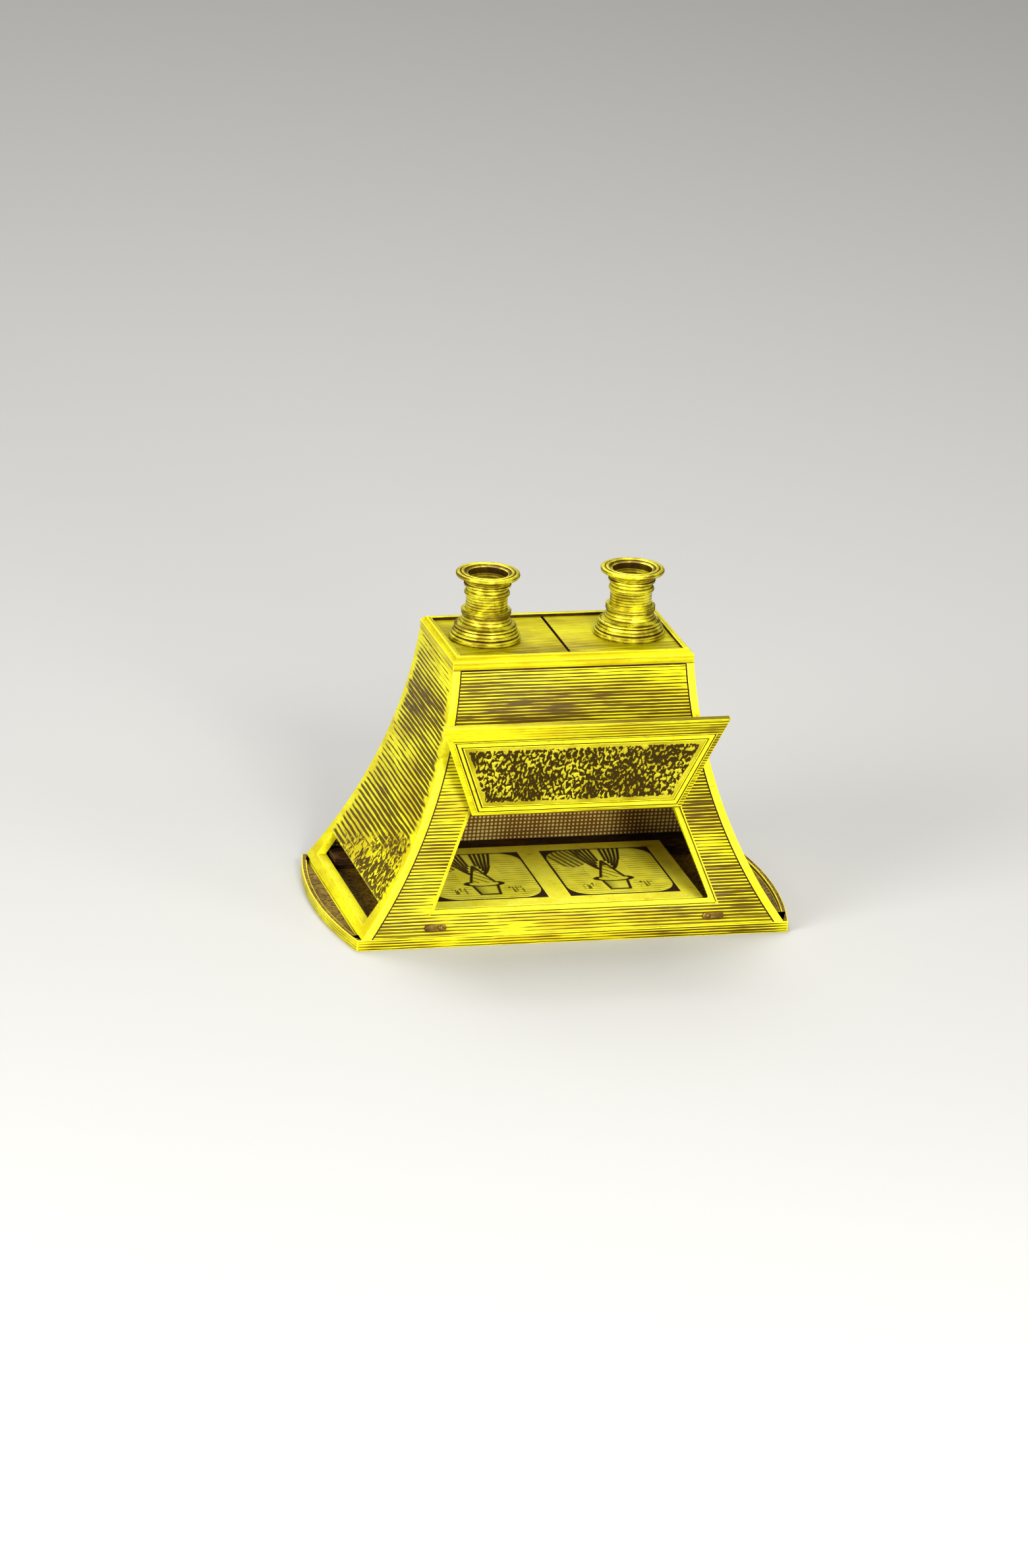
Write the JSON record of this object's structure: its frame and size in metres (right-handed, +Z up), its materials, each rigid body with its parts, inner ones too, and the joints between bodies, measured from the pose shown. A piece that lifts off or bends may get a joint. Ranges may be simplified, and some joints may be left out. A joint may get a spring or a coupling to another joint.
{
  "type": "stereoscope viewer",
  "caption": "Tapering wooden stereoscope with bent sides, draw-tube eyepieces on top, a hinged reflector door and side slots for a stereo card.",
  "frame": {"origin": "middle of the base board's underside", "axes": "+X to the right as seen from the door side, -Y towards the door side, +Z up through the eyepieces"},
  "size_m": [0.208, 0.1109, 0.1531],
  "materials": {
    "satinwood": "french polished, satin",
    "blackened_wood": "matt black stain",
    "brass": "lacquered",
    "clear_glass": "polished",
    "ground_glass": "ground on one face",
    "leaf_metal": "crinkled metal leaf on stiff paper",
    "dark_paper": "matt black",
    "card": "smooth",
    "print": "albumen print"
  },
  "bodies": {
    "case": {"base_board": "satinwood", "ground_glass": "ground_glass", "glass_bead_front": "satinwood", "glass_bead_right": "satinwood", "glass_bead_back": "satinwood", "glass_bead_left": "satinwood", "left_side_panel": "satinwood", "right_side_panel": "satinwood", "front_panel": "satinwood", "back_panel": "satinwood", "back_lining": "dark_paper", "left_lining": "dark_paper", "right_lining": "dark_paper", "card_runner_front": "blackened_wood", "card_runner_back": "blackened_wood", "septum": "blackened_wood", "top_rail_front": "satinwood", "top_rail_right": "satinwood", "top_rail_back": "satinwood", "top_rail_left": "satinwood", "case_hinge_leaves": "brass", "case_hinge_screws": "brass", "hinge_pins": "brass", "button_screws": "brass"},
    "door": {"door_board": "satinwood", "reflector_bead_hinge": "satinwood", "reflector_bead_right": "satinwood", "reflector_bead_free": "satinwood", "reflector_bead_left": "satinwood", "reflector": "leaf_metal", "door_hinge_leaves": "brass", "door_hinge_screws": "brass", "door_knob": "brass"},
    "card": {"card_mount": "card", "left_print": "print", "right_print": "print"},
    "left_button": {"left_turn_button": "brass"},
    "right_button": {"right_turn_button": "brass"},
    "left_eyepiece": {"left_lens_board": "satinwood", "left_eyepiece_foot": "brass", "left_foot_nut": "brass", "left_guide_pin": "brass"},
    "left_tube": {"left_draw_tube": "brass", "left_eye_rim": "brass", "left_lens": "clear_glass", "left_lens_rings": "brass"},
    "right_eyepiece": {"right_lens_board": "satinwood", "right_eyepiece_foot": "brass", "right_foot_nut": "brass", "right_guide_pin": "brass"},
    "right_tube": {"right_draw_tube": "brass", "right_eye_rim": "brass", "right_lens": "clear_glass", "right_lens_rings": "brass"}
  },
  "joints": [
    {"name": "door_hinge", "type": "hinge", "parent": "case", "child": "door", "pos_m": [0, -0.04346, 0.05848], "axis": [1, 0, 0], "range_deg": [-16, 155.5]},
    {"name": "card_slide", "type": "slide", "parent": "case", "child": "card", "axis": [1, 0, 0], "range_m": [-0.17, 0.17]},
    {"name": "left_button_turn", "type": "hinge", "parent": "case", "child": "left_button", "pos_m": [-0.06, -0.05313, 0.00911], "axis": [0, 0.9782, -0.2078], "range_deg": [0, 90]},
    {"name": "right_button_turn", "type": "hinge", "parent": "case", "child": "right_button", "pos_m": [0.06, -0.05313, 0.00911], "axis": [0, -0.9782, 0.2078], "range_deg": [0, 90]},
    {"name": "left_board_slide", "type": "slide", "parent": "case", "child": "left_eyepiece", "axis": [-1, 0, 0], "range_m": [0, 0.0015]},
    {"name": "right_board_slide", "type": "slide", "parent": "case", "child": "right_eyepiece", "axis": [1, 0, 0], "range_m": [0, 0.0015]},
    {"name": "left_tube_focus", "type": "slide", "parent": "left_eyepiece", "child": "left_tube", "axis": [0, 0, 1], "range_m": [-0.0059, 0.005]},
    {"name": "right_tube_focus", "type": "slide", "parent": "right_eyepiece", "child": "right_tube", "axis": [0, 0, 1], "range_m": [-0.0059, 0.005]}
  ]
}
